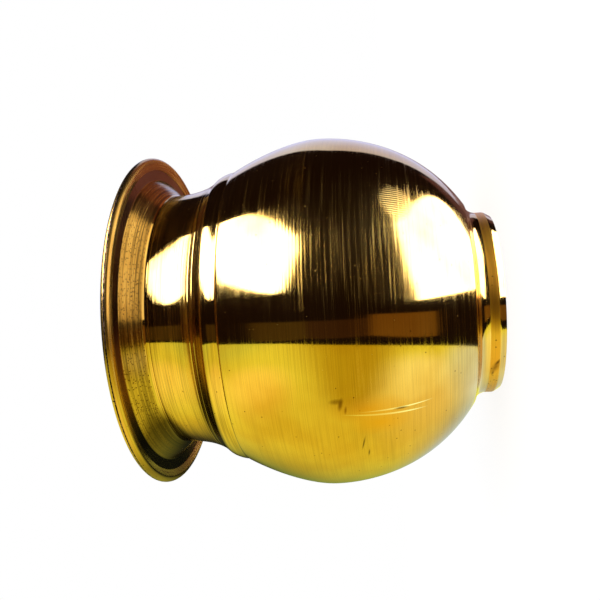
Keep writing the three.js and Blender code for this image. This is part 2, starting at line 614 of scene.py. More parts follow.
@dataclass(frozen=True)
class TurnedBrass:
    """Yellow brass, about a third zinc, turned on a lathe and buffed by hand.

    The buffing gives a mirror. The rings that the tool left, about half a millimetre apart, comb the
    edges of every reflection, and the finest of them spread a haze beside each bright one. Real tool
    lines and grit are finer; both are drawn as coarse as they need to show. A ring keeps its depth for
    about 45 mm along its run and a fine one for 17 mm; a warm blotch is about 17 mm across.
    """

    name: str = "turned_polished_brass"
    colour: str = "#EFCB78"
    warm_colour: str = "#D9A951"
    blotches_per_m: float = 60.0
    blotch_detail: float = 3.0
    blotch_edges: Span = (0.34, 0.64)
    roughness: float = 0.09
    ring_roughness: float = 0.25
    dull_edges: Span = (0.52, 0.78)
    ring_spacing_mm: float = 0.55
    ring_depth_mm: float = 0.0052
    ring_changes_per_m: float = 22.0
    ring_detail: float = 2.0
    fine_spacing_mm: float = 0.19
    fine_changes_per_m: float = 60.0
    fine_detail: float = 1.0
    fine_start: Place = (3.0, 5.0, 7.0)
    streak: float = 0.84
    streak_edges: Span = (0.3, 0.62)
    anisotropy: float = 0.95
    anisotropy_turn: float = 0.25
    pit_size_mm: float = 0.5
    pits_apart: float = 4.0
    pit_share: float = 0.045
    pit_edge: float = 1.6
    pit_colour: str = "#4A3414"
    spark_spacing_mm: float = 1.9
    spark_edges: Span = (0.028, 0.045)
    spark_roughness: float = 0.6
    marks: tuple[Mark, ...] = ()

    def surface(self, tree: Tree, place: Socket, fine: Socket) -> Socket:
        """Colours the metal: warm blotches, darker streaks on the finest rings, and pits.

        Args:
            tree: The node tree.
            place: Object coordinates.
            fine: The finest rings.

        Returns:
            The colour.
        """
        clouds = add_node(
            tree,
            "ShaderNodeTexNoise",
            {"Scale": self.blotches_per_m, "Detail": self.blotch_detail},
            {"Vector": place},
        )
        blotches = add_node(
            tree,
            "ShaderNodeMapRange",
            {"From Min": self.blotch_edges[0], "From Max": self.blotch_edges[1]},
            {"Value": clouds.outputs["Fac"]},
        )
        tone = add_node(
            tree,
            "ShaderNodeMix",
            {"data_type": "RGBA", COLOUR_A: linear(self.colour), COLOUR_B: linear(self.warm_colour)},
            {FACTOR: blotches.outputs["Result"]},
        )
        streaks = add_node(
            tree,
            "ShaderNodeMapRange",
            {"From Min": self.streak_edges[0], "From Max": self.streak_edges[1], "To Min": self.streak},
            {"Value": fine},
        )
        combed = add_node(
            tree,
            "ShaderNodeVectorMath",
            {"operation": "SCALE"},
            {0: tone.outputs[COLOUR_MIXED], "Scale": streaks.outputs["Result"]},
        )
        spacing = self.pit_size_mm * self.pits_apart
        pits = specks(tree, place, spacing, self.pit_share, self.pit_share * self.pit_edge)
        return add_node(
            tree,
            "ShaderNodeMix",
            {"data_type": "RGBA", COLOUR_B: linear(self.pit_colour)},
            {FACTOR: pits, COLOUR_A: combed.outputs["Vector"]},
        ).outputs[COLOUR_MIXED]

    def gloss(self, tree: Tree, place: Socket, fine: Socket) -> Socket:
        """Sets how rough the metal is: duller on the finest rings and on specks that catch the light.

        Args:
            tree: The node tree.
            place: Object coordinates.
            fine: The finest rings.

        Returns:
            The roughness.
        """
        wear = add_node(
            tree,
            "ShaderNodeMapRange",
            {
                "From Min": self.dull_edges[0],
                "From Max": self.dull_edges[1],
                "To Min": self.roughness,
                "To Max": self.ring_roughness,
            },
            {"Value": fine},
        )
        sparks = specks(tree, place, self.spark_spacing_mm, *self.spark_edges)
        return add_node(
            tree,
            "ShaderNodeMix",
            {VALUE_B: self.spark_roughness},
            {FACTOR: sparks, VALUE_A: wear.outputs["Result"]},
        ).outputs[VALUE_MIXED]

    def make(self) -> Material:
        """Builds the material.

        Returns:
            A node material that reads Object coordinates only.
        """
        material, tree = blank_material(self.name)
        place = add_node(tree, "ShaderNodeTexCoord").outputs["Object"]
        coarse = rings(tree, place, self.ring_spacing_mm, self.ring_changes_per_m, self.ring_detail)
        fine = rings(
            tree,
            place,
            self.fine_spacing_mm,
            self.fine_changes_per_m,
            self.fine_detail,
            self.fine_start,
        )
        surface = self.surface(tree, place, fine)
        gloss = self.gloss(tree, place, fine)
        for mark in self.marks:
            surface, gloss = mark.lay(tree, place, surface, gloss)
        bump = add_node(
            tree, "ShaderNodeBump", {"Distance": self.ring_depth_mm * MM}, {"Height": coarse}
        )
        metal = add_node(
            tree,
            "ShaderNodeBsdfPrincipled",
            {
                "Metallic": 1.0,
                "Anisotropic": self.anisotropy,
                "Anisotropic Rotation": self.anisotropy_turn,
            },
            {"Base Color": surface, "Roughness": gloss, "Normal": bump.outputs["Normal"]},
        )
        add_node(tree, "ShaderNodeOutputMaterial", links={"Surface": metal.outputs["BSDF"]})
        return material


BODY_MARKS = (
    # A finger mark, with its ridges.
    Mark(34.5, 33.8, 20.0, (3.6, 4.6), -6.0, roughness=0.42, core=0.5, ridges=0.5),
    # Two pale bright lines and a dark tick at their end.
    Mark(-31.3, 35.2, 23.5, (8.4, 0.22), 11.0, "#FFF8D0", 1.0, 0.3, 0.6),
    Mark(-30.2, 34.6, 21.6, (7.6, 0.18), 7.0, "#FFF8D0", 1.0, 0.3, 0.6),
    Mark(-30.6, 34.5, 20.9, (1.7, 0.32), 9.0, "#3A2A08", 0.85),
    # Short dark ticks across the belly.
    Mark(-25.6, 37.3, 31.3, (0.5, 1.6), 12.0, "#4A3408", 0.8),
    Mark(-27.6, 37.3, 30.5, (0.3, 1.1), 8.0, "#4A3408", 0.8),
    Mark(-24.6, 37.3, 32.0, (1.5, 0.7), 0.0, "#6A4C10", 0.6),
    Mark(-41.0, 36.6, 27.9, (0.22, 2.2), 12.0, "#4A3408", 0.75),
    Mark(-46.0, 36.6, 27.1, (0.2, 1.3), 6.0, "#4A3408", 0.75),
    # Warm orange patches round the bright lines.
    Mark(-28.5, 36.8, 26.5, (8.0, 3.6), 8.0, "#DE961C", 0.7, 0.14, 0.1),
    Mark(-34.0, 35.8, 24.4, (6.4, 3.0), 8.0, "#E2A020", 0.75, 0.14, 0.1),
)


class Finishes:
    """The materials of the vessel, made once and shared by its pieces."""

    def __init__(self) -> None:
        """Makes the materials."""
        # Buffed on the wheel: a mirror, faintly combed by its rings.
        self.body = TurnedBrass(marks=BODY_MARKS).make()
        # Harder to reach with the buff: stronger rings, darker streaks, and painted shade on the low
        # side, for the dark that the neck reflects there.
        self.neck = TurnedBrass(
            "turned_neck_brass",
            streak=0.6,
            ring_spacing_mm=0.8,
            ring_depth_mm=0.009,
            ring_roughness=0.2,
            marks=(
                # Painted shade: two dark ovals on the low side.
                Mark(-70.0, 30.0, 68.6, (4.6, 17.0), 0.0, "#1C1606", 0.85, core=0.72),
                Mark(-44.0, 30.6, 57.6, (2.1, 20.0), 0.0, "#1C1606", 0.72, core=0.6),
            ),
        ).make()
        # Rubbed by handling: satin, with strong streaks and many small pits.
        self.flare = TurnedBrass(
            "worn_flare_brass",
            colour="#D0A858",
            warm_colour="#A8803A",
            roughness=0.17,
            ring_roughness=0.35,
            streak=0.3,
            anisotropy=0.5,
            pit_size_mm=0.12,
            pit_share=0.22,
            pit_colour="#6A4C20",
            # Painted shade on the low side, like the neck's.
            marks=(Mark(-70.0, 30.0, 70.0, (6.0, 17.0), 0.0, "#3A2C0C", 0.75, core=0.72),),
        ).make()
        # Out of the buff's reach, in the corner beside the bead: brown and dull.
        self.ledge = TurnedBrass(
            "tarnished_ledge_brass",
            colour="#86583C",
            warm_colour="#6E4430",
            roughness=0.26,
            ring_roughness=0.4,
            anisotropy=0.3,
            # Painted shade on the low side, almost black.
            marks=(Mark(-70.0, 33.0, 71.7, (3.0, 26.0), 0.0, "#140A06", 0.9, core=0.6),),
        ).make()
        # Rubbed by hands and cloth: a soft sheen with fine pits.
        self.lip = TurnedBrass(
            "worn_lip_brass",
            colour="#E2BC6C",
            warm_colour="#C89A4C",
            roughness=0.24,
            ring_roughness=0.4,
            streak=0.7,
            anisotropy=0.2,
            pit_share=0.07,
            # Painted shade on the low side, where the bead lies close to the table.
            marks=(Mark(-72.0, 36.2, 72.0, (5.0, 22.0), 0.0, "#5C4824", 0.8, core=0.5),),
        ).make()
        # Knocked along its crest: a broken line of dark nicks.
        self.nicked = TurnedBrass(
            "nicked_edge_brass",
            colour="#9C8074",
            warm_colour="#6A5048",
            roughness=0.35,
            ring_roughness=0.4,
            anisotropy=0.0,
            pit_size_mm=0.11,
            pit_share=0.5,
            pit_colour="#1A1614",
        ).make()
        # Scraped where the vessel is set down: matt, warm, with brown stains.
        self.scuffed = TurnedBrass(
            "scuffed_foot_brass",
            colour="#ECB840",
            warm_colour="#D08A28",
            roughness=0.4,
            ring_roughness=0.55,
            anisotropy=0.3,
            pit_size_mm=0.3,
            pit_share=0.1,
            pit_colour="#8A6420",
            marks=(
                Mark(-41.0, 19.4, 2.1, (0.9, 2.4), 24.0, "#7A5010", 0.75, core=0.1),
                Mark(-37.0, 19.4, 1.7, (0.35, 1.2), 30.0, "#4A3008", 0.8, core=0.2),
                Mark(-46.0, 19.4, 2.5, (0.3, 0.9), 10.0, "#5A3C0C", 0.7, core=0.2),
                Mark(-4.0, 19.4, 2.0, (1.4, 5.0), 0.0, "#8A5210", 0.6, core=0.3),
            ),
        ).make()
        # Spun and left so: even and satin.
        self.inside = TurnedBrass(
            "spun_brass_inside",
            colour="#D9AE48",
            warm_colour="#C29440",
            roughness=0.28,
            ring_roughness=0.5,
        ).make()
        # Filler as it flowed and set: paler and duller than the sheet.
        self.braze = TurnedBrass(
            "braze_filler",
            colour="#D8B060",
            warm_colour="#C09850",
            roughness=0.35,
            ring_roughness=0.5,
        ).make()


@dataclass(frozen=True)
class Form:
    """The vessel's outer form: levels up from the floor and radii, in millimetres."""

    foot_band_height: float = 3.1
    cove_height: float = 2.45
    bowl_height: float = 29.65
    shoulder_height: float = 18.1
    collar_height: float = 3.25
    neck_height: float = 11.45
    flare_height: float = 3.7
    foot_radius: float = 19.4
    cove_width: float = 2.45
    belly_radius: float = 37.5
    shoulder_inset: float = 5.4
    collar_taper: float = 1.1
    collar_thickness: float = 1.6
    neck_inset: float = 3.1
    flare_width: float = 3.8
    body_wall: float = 1.2
    mouth_wall: float = 0.8
    groove_half_width: float = 0.6
    groove_depth: float = 0.035
    groove_slope: float = 99.0
    neck_braze_height: float = 1.6

    @property
    def seat(self) -> Point:
        """Where the body meets the foot ring."""
        return self.foot_radius + self.cove_width, self.foot_band_height + self.cove_height

    @property
    def belly(self) -> Point:
        """The widest point, where both halves of the body meet."""
        return self.belly_radius, self.seat[1] + self.bowl_height

    @property
    def shoulder(self) -> Point:
        """Where the shoulder would meet the collar without the groove."""
        return self.belly_radius - self.shoulder_inset, self.belly[1] + self.shoulder_height

    @property
    def groove(self) -> Point:
        """The bottom of the groove under the collar."""
        return self.shoulder[0] - self.groove_depth, self.shoulder[1]

    @property
    def neck_edge(self) -> Point:
        """The edge between collar and neck."""
        return self.shoulder[0] - self.collar_taper, self.shoulder[1] + self.collar_height

    @property
    def waist(self) -> Point:
        """The narrowest point of the neck, just below the flare."""
        return self.neck_edge[0] - self.neck_inset, self.neck_edge[1] + self.neck_height

    @property
    def flare_edge(self) -> Point:
        """The edge between the flare and the ledge."""
        return self.waist[0] + self.flare_width, self.waist[1] + self.flare_height

    @property
    def spigot_radius(self) -> float:
        """Outer radius of the mouth's spigot inside the collar."""
        return self.neck_edge[0] - self.collar_thickness

    @property
    def land_radius(self) -> float:
        """Bore of the upper body, where the neck is brazed in."""
        return self.shoulder[0] - self.body_wall

    @property
    def land_foot(self) -> float:
        """Height of the lower end of the neck's braze."""
        return self.shoulder[1] - self.neck_braze_height

    def valley(self, first: Point, leave: float, last: Point, arrive: float) -> Outline:
        """Draws one side of the groove under the collar.

        Args:
            first: Radius and height of its lower end.
            leave: The direction in which it leaves it, in degrees from the outward radius.
            last: Radius and height of its upper end.
            arrive: The direction in which it reaches it.

        Returns:
            The points of the curve, ends included.
        """
        hold = self.groove_half_width / 2
        return bezier(first, step(first, leave, hold), step(last, arrive, -hold), last, VALLEY_STEPS)


@dataclass
class Foot:
    """The foot ring and its braze. Lengths in millimetres."""

    form: Form
    wall: float = 2.0
    braze_size: float = 1.3
    bevel_width: float = 0.8
    bevel_height: float = 1.3
    bevel_round: float = 0.25
    cove: Bend = Bend(78, 0.38, 12, 0.38)
    cove_round: float = 0.12
    cove_steps: int = 14

    @property
    def bore(self) -> float:
        """Inner radius of the foot ring."""
        return self.form.foot_radius - self.wall

    def ring(self) -> Outline:
        """Draws the bevelled band with its cove up to the body.

        Returns:
            The ring's outline.
        """
        radius = self.form.foot_radius
        band_foot = (radius, self.bevel_height)
        band_top = (radius, self.form.foot_band_height)
        bevel = [(radius - self.bevel_width, 0.0), band_foot]
        band = join(bevel, [band_foot, band_top], self.bevel_round)
        cove = self.cove.sweep(band_top, self.form.seat, self.cove_steps)
        return [
            (self.bore, 0.0),
            *join(band, cove, self.cove_round),
            (self.bore, self.form.seat[1]),
            (self.bore, self.form.seat[1] - self.braze_size),
        ]

    def braze(self) -> Outline:
        """Draws the braze in the corner inside the foot."""
        return fillet((self.bore, self.form.seat[1]), self.braze_size, self.braze_size)

    def build(self, finishes: Finishes) -> None:
        """Makes the pieces.

        Args:
            finishes: The vessel's materials.
        """
        band = Patch(finishes.scuffed, low=self.bevel_height, high=self.form.foot_band_height)
        turn("foot_ring", self.ring(), finishes.body, (band,))
        turn("foot_braze", self.braze(), finishes.braze)


@dataclass
class Body:
    """The two spun halves of the body and the braze between them. Lengths in millimetres."""

    form: Form
    foot_bore: float
    foot_braze_size: float
    bottom_rise: float = 0.5
    lap_depth: float = 2.0
    lap_wall: float = 1.1
    lap_joggle: float = 1.5
    braze_height: float = 1.1
    bowl: Bend = Bend(34, 0.53, 90, 0.115)
    bowl_steps: int = 60
    shoulder: Bend = Bend(90, 0.305, 118, 0.285)
    shoulder_steps: int = 48
    # Faint lines, and a band of nine close ones just above the belly.
    lathe_marks: tuple[Score, ...] = (
        Score(28.2, 0.25, 0.0012),
        Score(31.4, 0.25, 0.0014),
        *(Score(35.9 + 0.62 * i, 0.2, 0.0046) for i in range(9)),
        Score(42.0, 0.25, 0.0014),
        Score(46.6, 0.25, 0.0012),
    )

    @property
    def lap_radius(self) -> float:
        """Bore of the lower body at the belly, where the upper one laps in."""
        return self.form.belly_radius - self.form.body_wall

    @property
    def lap_foot(self) -> float:
        """Height of the lap's lower end."""
        return self.form.belly[1] - self.lap_depth

    def lower(self) -> Outline:
        """Draws the bowl, from its seat on the foot ring to the belly, closed across the bottom.

        Returns:
            The lower body's outline.
        """
        wall = self.form.body_wall
        seat_level = self.form.seat[1]
        outer = self.bowl.sweep(self.form.seat, self.form.belly, self.bowl_steps)
        inner = offset(outer, wall)
        inner[0] = (self.form.seat[0], seat_level + wall)
        braze_foot = self.lap_foot - self.braze_height
        rim = self.foot_bore - self.foot_braze_size
        return [
            (0.0, seat_level + self.bottom_rise),
            (rim, seat_level),
            (self.foot_bore, seat_level),
            *score(outer, self.lathe_marks),
            (self.lap_radius, self.form.belly[1]),
            (self.lap_radius, self.lap_foot),
            (self.lap_radius, braze_foot),
            *[p for p in inner if p[1] < braze_foot - wall][::-1],
            (rim, seat_level + wall),
            (0.0, seat_level + self.bottom_rise + wall),
        ]

    def upper(self) -> Outline:
        """Draws the shoulder, with its lap inside the bowl and its land for the collar.

        Returns:
            The upper body's outline.
        """
        form = self.form
        outer = self.shoulder.sweep(form.belly, form.shoulder, self.shoulder_steps)
        inner = offset(outer, form.body_wall)
        face = [p for p in outer if p[1] < form.groove[1] - form.groove_half_width]
        valley = form.valley(face[-1], self.shoulder.end, form.groove, form.groove_slope)
        low = form.belly[1] + self.lap_joggle
        high = form.land_foot - self.lap_wall
        bore = self.lap_radius - self.lap_wall
        return [
            (self.lap_radius, self.lap_foot),
            (self.lap_radius, form.belly[1]),
            *score(face, self.lathe_marks),
            *valley[1:],
            (form.land_radius, form.groove[1]),
            (form.land_radius, form.land_foot),
            *[p for p in inner if low < p[1] < high][::-1],
            (bore, form.belly[1]),
            (bore, self.lap_foot),
        ]

    def braze(self) -> Outline:
        """Draws the braze under the lap, inside the belly."""
        return fillet((self.lap_radius, self.lap_foot), self.lap_wall, self.braze_height)

    def build(self, finishes: Finishes) -> None:
        """Makes the pieces.

        Args:
            finishes: The vessel's materials.
        """
        bore = (Patch(finishes.inside, inside=True),)
        turn("lower_body", self.lower(), finishes.body, bore)
        turn("upper_body", self.upper(), finishes.body, bore)
        turn("belly_braze", self.braze(), finishes.braze)


@dataclass
class Mouth:
    """Collar, neck, flare and lip, and the braze under them. Lengths in millimetres."""

    form: Form
    ledge_width: float = 2.25
    lip_width: float = 2.6
    bead_radius: float = 0.98
    bead_arc: float = 110
    bead_steps: int = 36
    lip_step: float = 0.1
    lip_groove_depth: float = 0.6
    spigot_depth: float = 2.7
    edge_round: float = 0.22
    flare_gap: float = 0.05
    ledge_ease: float = 0.3
    collar_side: Bend = Bend(98, 0.33, 124, 0.33)
    collar_steps: int = 16
    neck: Bend = Bend(134, 0.27, 89, 0.4)
    neck_steps: int = 40
    flare: Bend = Bend(60, 0.1, 46, 0.5)
    flare_steps: int = 30
    # The finishes change this far above the waist, below the ledge and on both sides of the crest.
    worn_from: float = 0.3
    tarnish_from: float = -0.03
    nicks: Span = (-0.12, 0.16)
    # Two plain lines above the collar, faint ones on the neck and three narrow ones at the waist.
    neck_marks: tuple[Score, ...] = (
        Score(58.05, 0.16, 0.03),
        Score(58.95, 0.16, 0.035),
        Score(60.6, 0.2, 0.003),
        Score(62.2, 0.2, 0.002),
        Score(64.3, 0.2, 0.003),
        Score(66.3, 0.2, 0.004),
        Score(67.4, 0.13, 0.012),
        Score(68.7, 0.13, 0.012),
        Score(69.6, 0.13, 0.006),
    )

    @property
    def lip_bore(self) -> float:
        """Radius where the ledge meets the bead."""
        return self.form.flare_edge[0] + self.ledge_width

    @property
    def lip_groove(self) -> float:
        """Radius of the bottom of the groove that holds the edge of the sheet."""
        return self.lip_bore + self.lip_groove_depth

    @property
    def ledge_top(self) -> float:
        """Height of the ledge's upper face."""
        return self.form.flare_edge[1] + self.form.mouth_wall

    @property
    def crest(self) -> float:
        """Height of the bead's outermost line."""
        return self.form.flare_edge[1] + self.form.mouth_wall / 2

    def throat(self) -> tuple[Outline, Outline]:
        """Draws the neck's outer curve, cut where the collar hands over to the mouth.

        Returns:
            The collar's part and the mouth's part.
        """
        neck = self.neck.sweep(self.form.neck_edge, self.form.waist, self.neck_steps)
        flare = self.flare.sweep(self.form.waist, self.form.flare_edge, self.flare_steps)
        curve = score([*neck, *flare[1:]], self.neck_marks)
        radius = self.form.spigot_radius
        i = next(i for i, (r, _) in enumerate(curve) if r < radius)
        (r0, z0), (r1, z1) = curve[i - 1], curve[i]
        cut = (radius, z0 + (z1 - z0) * (r0 - radius) / (r0 - r1))
        return [*curve[:i], cut], [cut, *curve[i:]]

    def lip(self) -> Outline:
        """Draws the bead, grooved on its inner side for the edge of the mouth.

        Returns:
            The lip ring's outline.
        """
        ledge = self.form.flare_edge[1]
        middle = (self.lip_bore + self.lip_width - self.bead_radius, self.crest)
        return [
            (self.lip_bore, ledge),
            (self.lip_groove, ledge),
            (self.lip_groove, self.ledge_top),
            (self.lip_bore, self.ledge_top),
            (self.lip_bore, self.ledge_top + self.lip_step),
            *arc(middle, self.bead_radius, self.bead_arc, -self.bead_arc, self.bead_steps),
            (self.lip_bore, ledge - self.lip_step),
        ]

    def spinning(self) -> Outline:
        """Draws spigot, concave neck, trumpet flare and flat ledge, spun in one sheet.

        Returns:
            The sheet's outline.
        """
        outer = self.throat()[1]
        plain = [p for p in outer if p[1] < self.form.flare_edge[1] - self.flare_gap]
        inner = offset(plain[::2], self.form.mouth_wall)
        bore = self.form.spigot_radius - self.form.mouth_wall
        inner[0] = (bore, outer[0][1])
        ledge = [self.form.flare_edge, (self.lip_groove, self.form.flare_edge[1])]
        foot = self.form.shoulder[1] - self.spigot_depth
        return [
            (self.form.spigot_radius, foot),
            *join(outer, ledge, self.edge_round),
            (self.lip_groove, self.ledge_top),
            (inner[-1][0] + self.ledge_ease, self.ledge_top),
            *inner[::-1],
            (bore, foot),
        ]

    def collar(self) -> Outline:
        """Draws the ring round the spigot, from the groove to the edge under the neck.

        Returns:
            The collar's outline.
        """
        form = self.form
        base = step(form.groove, form.groove_slope, form.groove_half_width)
        side = self.collar_side.sweep(base, form.neck_edge, self.collar_steps)
        valley = form.valley(form.groove, form.groove_slope, base, self.collar_side.start)
        face = join([*valley, *side[1:]], self.throat()[0], self.edge_round)
        return [(form.spigot_radius, form.groove[1]), *face]

    def braze(self) -> Outline:
        """Draws the braze between spigot, collar and body.

        Returns:
            Its outline.
        """
        return [
            (self.form.spigot_radius, self.form.land_foot),
            (self.form.land_radius, self.form.land_foot),
            (self.form.land_radius, self.form.groove[1]),
            (self.form.spigot_radius, self.form.groove[1]),
        ]

    def build(self, finishes: Finishes) -> None:
        """Makes the pieces.

        Args:
            finishes: The vessel's materials.
        """
        tarnish = self.form.flare_edge[1] + self.tarnish_from
        patches = (
            Patch(finishes.flare, low=self.form.waist[1] + self.worn_from, high=tarnish),
            Patch(finishes.ledge, low=tarnish),
            Patch(finishes.inside, inside=True),
        )
        edge = Patch(finishes.nicked, low=self.crest + self.nicks[0], high=self.crest + self.nicks[1])
        turn("neck_collar", self.collar(), finishes.neck)
        turn("mouth_spinning", self.spinning(), finishes.neck, patches)
        turn("lip_ring", self.lip(), finishes.lip, (edge,))
        turn("neck_braze", self.braze(), finishes.braze)


def towards(azimuth: float, elevation: float) -> Vector:
    """Turns a direction, as the lying vessel has it, into one of the frame.

    Args:
        azimuth: Degrees round the vessel, from the camera's side towards its mouth.
        elevation: Degrees above the table on which the photograph shows it.

    Returns:
        The direction, one long.
    """
    turned = math.radians(azimuth)
    raised = math.radians(elevation)
    return Vector(
        (math.sin(raised), -math.cos(raised) * math.cos(turned), math.cos(raised) * math.sin(turned))
    )


def glow(name: str, colour: str, strength: float) -> Material:
    """Makes an evenly glowing material for a stage panel.

    Args:
        name: The material's name.
        colour: Its sRGB colour.
        strength: How brightly it glows; one is white.

    Returns:
        The material.
    """
    material, tree = blank_material(name)
    light = add_node(tree, "ShaderNodeEmission", {"Color": linear(colour), "Strength": strength})
    add_node(tree, "ShaderNodeOutputMaterial", links={"Surface": light.outputs["Emission"]})
    return material


def stage_piece(
    name: str, shape: bmesh.types.BMesh, material: Material, hidden: Hidden = Hidden.PANEL
) -> None:
    """Adds a stage piece, which isn't part of the vessel.

    Args:
        name: Its name.
        shape: Its mesh, freed here.
        material: Its material.
        hidden: The rays that don't see it.
    """
    mesh = bpy.data.meshes.new(name)
    shape.to_mesh(mesh)
    shape.free()
    mesh.materials.append(material)
    piece = bpy.data.objects.new(name, mesh)
    for ray in hidden.value:
        setattr(piece, ray, False)
    bpy.context.scene.collection.objects.link(piece)


@dataclass(frozen=True)
class Panel:
    """A flat panel of the studio, given by the directions in which the vessel sees its corners.

    Directions are in degrees, the distance in millimetres.
    """

    name: str
    corners: tuple[Point, ...]
    distance: float
    colour: str
    strength: float

    def make(self, centre: Vector) -> None:
        """Hangs the panel, square to its middle direction.

        Args:
            centre: The vessel's centre in millimetres.
        """
        ways = [towards(*corner) for corner in self.corners]
        middle = sum(ways, Vector()).normalized()
        sheet = bmesh.new()
        places = [centre + way * (self.distance / way.dot(middle)) for way in ways]
        sheet.faces.new([sheet.verts.new(spot * MM) for spot in places])
        stage_piece(self.name, sheet, glow(self.name, self.colour, self.strength))


@dataclass(frozen=True)
class Card:
    """Part of a ring-shaped card round the belly, which only the flare and the lip look at.

    It stands in for what they reflect of the vessel's own shoulder. Angles are in degrees from the
    camera's side up over the lying vessel, lengths in millimetres.
    """

    name: str
    angles: Span
    radii: Span
    colour: str
    strength: float
    height: float = 36.0

    def material(self) -> Material:
        """Makes the card glow on its mouth side, in first reflections only, and clear on the other.

        Returns:
            The material.
        """
        material, tree = blank_material(self.name)
        path = add_node(tree, "ShaderNodeLightPath")
        first = add_node(
            tree,
            "ShaderNodeMath",
            {"operation": "LESS_THAN", 1: SECOND_REFLECTION},
            {0: path.outputs["Ray Depth"]},
        )
        level = add_node(
            tree,
            "ShaderNodeMath",
            {"operation": "MULTIPLY", 1: self.strength},
            {0: first.outputs["Value"]},
        )
        light = add_node(
            tree,
            "ShaderNodeEmission",
            {"Color": linear(self.colour)},
            {"Strength": level.outputs["Value"]},
        )
        clear = add_node(tree, "ShaderNodeBsdfTransparent")
        side = add_node(tree, "ShaderNodeNewGeometry")
        shown = add_node(
            tree,
            "ShaderNodeMixShader",
            links={
                "Fac": side.outputs["Backfacing"],
                1: light.outputs["Emission"],
                2: clear.outputs["BSDF"],
            },
        )
        add_node(tree, "ShaderNodeOutputMaterial", links={"Surface": shown.outputs["Shader"]})
        return material

    def make(self) -> None:
        """Stands the card up, square to the axis and facing the mouth."""
        sheet = bmesh.new()
        start, end = (math.radians(angle) for angle in self.angles)
        edge = [
            sheet.verts.new(Vector((math.sin(start), -math.cos(start), 0)) * radius * MM)
            for radius in self.radii
        ]
        bmesh.ops.spin(
            sheet,
            geom=[*edge, sheet.edges.new(edge)],
            cent=(0, 0, 0),
            axis=(0, 0, 1),
            angle=end - start,
            steps=CARD_STEPS,
        )
        for face in sheet.faces:
            face.normal_update()
            if face.normal.z < 0:
                face.normal_flip()
        bmesh.ops.translate(sheet, verts=sheet.verts, vec=(0, 0, self.height * MM))
        stage_piece(self.name, sheet, self.material())


@dataclass(frozen=True)
class Pool:
    """A soft-edged round patch of tone on the table. Lengths in millimetres, across and along."""

    colour: str
    middle: Point
    reach: Point
    core: float = 0.4

    def mask(self, tree: Tree, place: Socket) -> Socket:
        """Masks the patch.

        Args:
            tree: The node tree.
            place: Object coordinates.

        Returns:
            A socket that is one in the patch's core and zero from its edge on.
        """
        near = add_node(
            tree,
            "ShaderNodeMapping",
            {
                "vector_type": "TEXTURE",
                "Location": Vector((TABLE_LEVEL, *self.middle)) * MM,
                "Scale": (1.0, self.reach[0] * MM, self.reach[1] * MM),
            },
            {"Vector": place},
        ).outputs["Vector"]
        away = add_node(tree, "ShaderNodeVectorMath", {"operation": "LENGTH"}, {0: near})
        return add_node(
            tree,
            "ShaderNodeMapRange",
            {"interpolation_type": "SMOOTHSTEP", "From Min": self.core, "From Max": 1.0, **FADING},
            {"Value": away.outputs["Value"]},
        ).outputs["Result"]


@dataclass(frozen=True)
class Wedge:
    """A wedge of shade on the table that widens from its apex towards the camera.

    Each side is given by the directions between which it fades in. Millimetres and degrees.
    """

    colour: str
    apex: Point
    foot_side: Span
    mouth_side: Span
    fade: float

    def mask(self, tree: Tree, place: Socket) -> Socket:
        """Masks the wedge.

        Args:
            tree: The node tree.
            place: Object coordinates.

        Returns:
            A socket that is one inside the wedge and zero outside it.
        """
        apex = Vector((TABLE_LEVEL, *self.apex)) * MM
        shift = add_node(tree, "ShaderNodeVectorMath", {"operation": "SUBTRACT", 1: apex}, {0: place})
        split = add_node(tree, "ShaderNodeSeparateXYZ", links={0: shift.outputs["Vector"]})
        nearer = add_node(
            tree, "ShaderNodeMath", {"operation": "MULTIPLY", 1: -1.0}, {0: split.outputs["Y"]}
        ).outputs["Value"]
        turned = add_node(
            tree, "ShaderNodeMath", {"operation": "ARCTAN2"}, {0: split.outputs["Z"], 1: nearer}
        ).outputs["Value"]
        foot_side = (math.radians(angle) for angle in self.foot_side)
        mouth_side = (math.radians(angle) for angle in self.mouth_side)
        limits = ((turned, *foot_side), (turned, *mouth_side), (nearer, 0.0, self.fade * MM))
        fades = [
            add_node(
                tree,
                "ShaderNodeMapRange",
                {"interpolation_type": "SMOOTHSTEP", "From Min": low, "From Max": high},
                {"Value": value},
            ).outputs["Result"]
            for value, low, high in limits
        ]
        inside = fades[0]
        for fade in fades[1:]:
            inside = add_node(
                tree, "ShaderNodeMath", {"operation": "MULTIPLY"}, {0: inside, 1: fade}
            ).outputs["Value"]
        return inside


